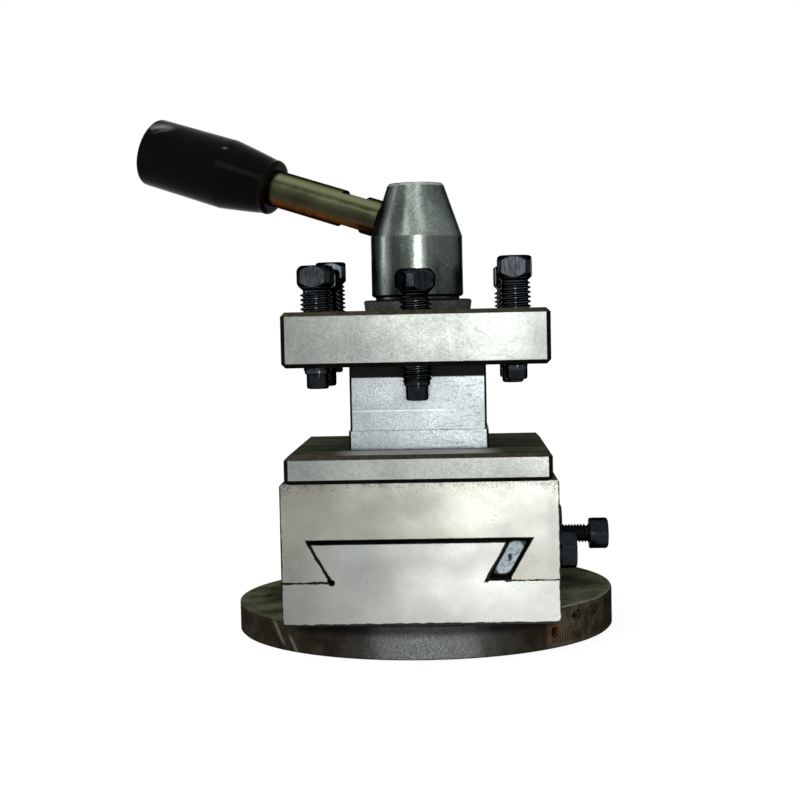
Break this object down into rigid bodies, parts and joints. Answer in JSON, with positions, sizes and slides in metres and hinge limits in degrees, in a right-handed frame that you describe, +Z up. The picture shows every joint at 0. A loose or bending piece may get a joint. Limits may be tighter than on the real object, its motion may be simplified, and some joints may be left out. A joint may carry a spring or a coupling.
{
  "type": "four-way square tool post on top slide",
  "caption": "Square tool post that indexes on a dovetail top slide, with square-head clamp screws, a cone clamp nut with a lever, and a round graduated swivel base.",
  "frame": {"origin": "centre of the pivot bore's mouth, in the flat underside of the swivel base, on the swivel axis", "axes": "+Z up, along the swivel axis and the post's axis; +Y along the slide towards the crank; +X to the side with the gib, the locking screw and the graduations"},
  "size_m": [0.1957, 0.3001, 0.2146],
  "materials": {
    "base_iron": "cast and machined, faces scraped bright, rim darkened",
    "machined_iron": "ground and machined",
    "post_steel": "milled and ground",
    "gib_steel": "ground",
    "bright_steel": "turned satin",
    "satin_chrome": "satin chrome",
    "black_steel": "black oxide",
    "passivated_steel": "yellow passivated",
    "bronze": "machined bronze",
    "black_plastic": "gloss black phenolic"
  },
  "bodies": {
    "base": {"swivel_base": "base_iron", "feed_nut": "bronze", "nut_bolt": "black_steel", "bolt_lock_nut": "black_steel"},
    "slide": {"top_slide": "machined_iron", "gib_strip": "gib_steel", "gib_screw_1": "black_steel", "gib_screw_2": "black_steel", "gib_screw_3": "black_steel", "gib_nut_1": "black_steel", "gib_nut_2": "black_steel", "gib_nut_3": "black_steel", "bearing_bracket": "machined_iron", "bracket_screw_left": "black_steel", "bracket_screw_right": "black_steel", "centre_stud": "bright_steel", "index_spring": "bright_steel"},
    "feed": {"feed_screw": "bright_steel", "feed_dial": "satin_chrome", "crank": "satin_chrome", "crank_nut": "bright_steel", "grip_pin": "bright_steel"},
    "grip": {"crank_grip": "black_plastic"},
    "lock": {"slide_lock_screw": "black_steel"},
    "plunger": {"index_plunger": "bright_steel"},
    "post": {"tool_post_block": "post_steel", "post_washer": "black_steel"},
    "lever": {"clamp_nut": "bright_steel", "lever_rod": "passivated_steel", "lever_knob": "black_plastic"},
    "screw_front_left": {"clamp_screw_front_left": "black_steel"},
    "screw_front_mid": {"clamp_screw_front_mid": "black_steel"},
    "screw_front_right": {"clamp_screw_front_right": "black_steel"},
    "screw_mid_left": {"clamp_screw_mid_left": "black_steel"},
    "screw_mid_right": {"clamp_screw_mid_right": "black_steel"},
    "screw_rear_left": {"clamp_screw_rear_left": "black_steel"},
    "screw_rear_mid": {"clamp_screw_rear_mid": "black_steel"},
    "screw_rear_right": {"clamp_screw_rear_right": "black_steel"}
  },
  "joints": [
    {"name": "slide_feed", "type": "slide", "parent": "base", "child": "slide", "axis": [0, 1, 0], "range_m": [-0.038, 0.03]},
    {"name": "crank_turn", "type": "hinge", "parent": "slide", "child": "feed", "pos_m": [0, 0.1549, 0.0384], "axis": [0, 1, 0], "range_deg": [-4565, 3605]},
    {"name": "grip_spin", "type": "hinge", "parent": "feed", "child": "grip", "pos_m": [-0.02631, 0.1849, 0.02882], "axis": [0, 1, 0], "continuous": true},
    {"name": "lock_screw_travel", "type": "slide", "parent": "slide", "child": "lock", "axis": [1, 0, 0], "range_m": [0, 0.008]},
    {"name": "plunger_travel", "type": "slide", "parent": "slide", "child": "plunger", "axis": [0, 0, 1], "range_m": [-0.0014, 0], "stiffness_N_per_m": 400, "springref_m": 0.003, "deforming": ["index_spring"]},
    {"name": "post_index", "type": "hinge", "parent": "slide", "child": "post", "pos_m": [0, -0.036, 0.1], "axis": [0, 0, 1], "continuous": true},
    {"name": "clamp_lever", "type": "hinge", "parent": "slide", "child": "lever", "pos_m": [0, -0.036, 0.16], "axis": [0, 0, 1], "range_deg": [-15, 120]},
    {"name": "screw_front_left", "type": "slide", "parent": "post", "child": "screw_front_left", "axis": [0, 0, 1], "range_m": [-0.0086, 0.012]},
    {"name": "screw_front_mid", "type": "slide", "parent": "post", "child": "screw_front_mid", "axis": [0, 0, 1], "range_m": [-0.0067, 0.012]},
    {"name": "screw_front_right", "type": "slide", "parent": "post", "child": "screw_front_right", "axis": [0, 0, 1], "range_m": [-0.0108, 0.012]},
    {"name": "screw_mid_left", "type": "slide", "parent": "post", "child": "screw_mid_left", "axis": [0, 0, 1], "range_m": [-0.008, 0.012]},
    {"name": "screw_mid_right", "type": "slide", "parent": "post", "child": "screw_mid_right", "axis": [0, 0, 1], "range_m": [-0.0081, 0.012]},
    {"name": "screw_rear_left", "type": "slide", "parent": "post", "child": "screw_rear_left", "axis": [0, 0, 1], "range_m": [-0.012, 0.012]},
    {"name": "screw_rear_mid", "type": "slide", "parent": "post", "child": "screw_rear_mid", "axis": [0, 0, 1], "range_m": [-0.0057, 0.012]},
    {"name": "screw_rear_right", "type": "slide", "parent": "post", "child": "screw_rear_right", "axis": [0, 0, 1], "range_m": [-0.0086, 0.012]}
  ],
  "couplings": [
    {"joint": "crank_turn", "follows": "slide_feed", "rad_per_m": 2094.4}
  ]
}
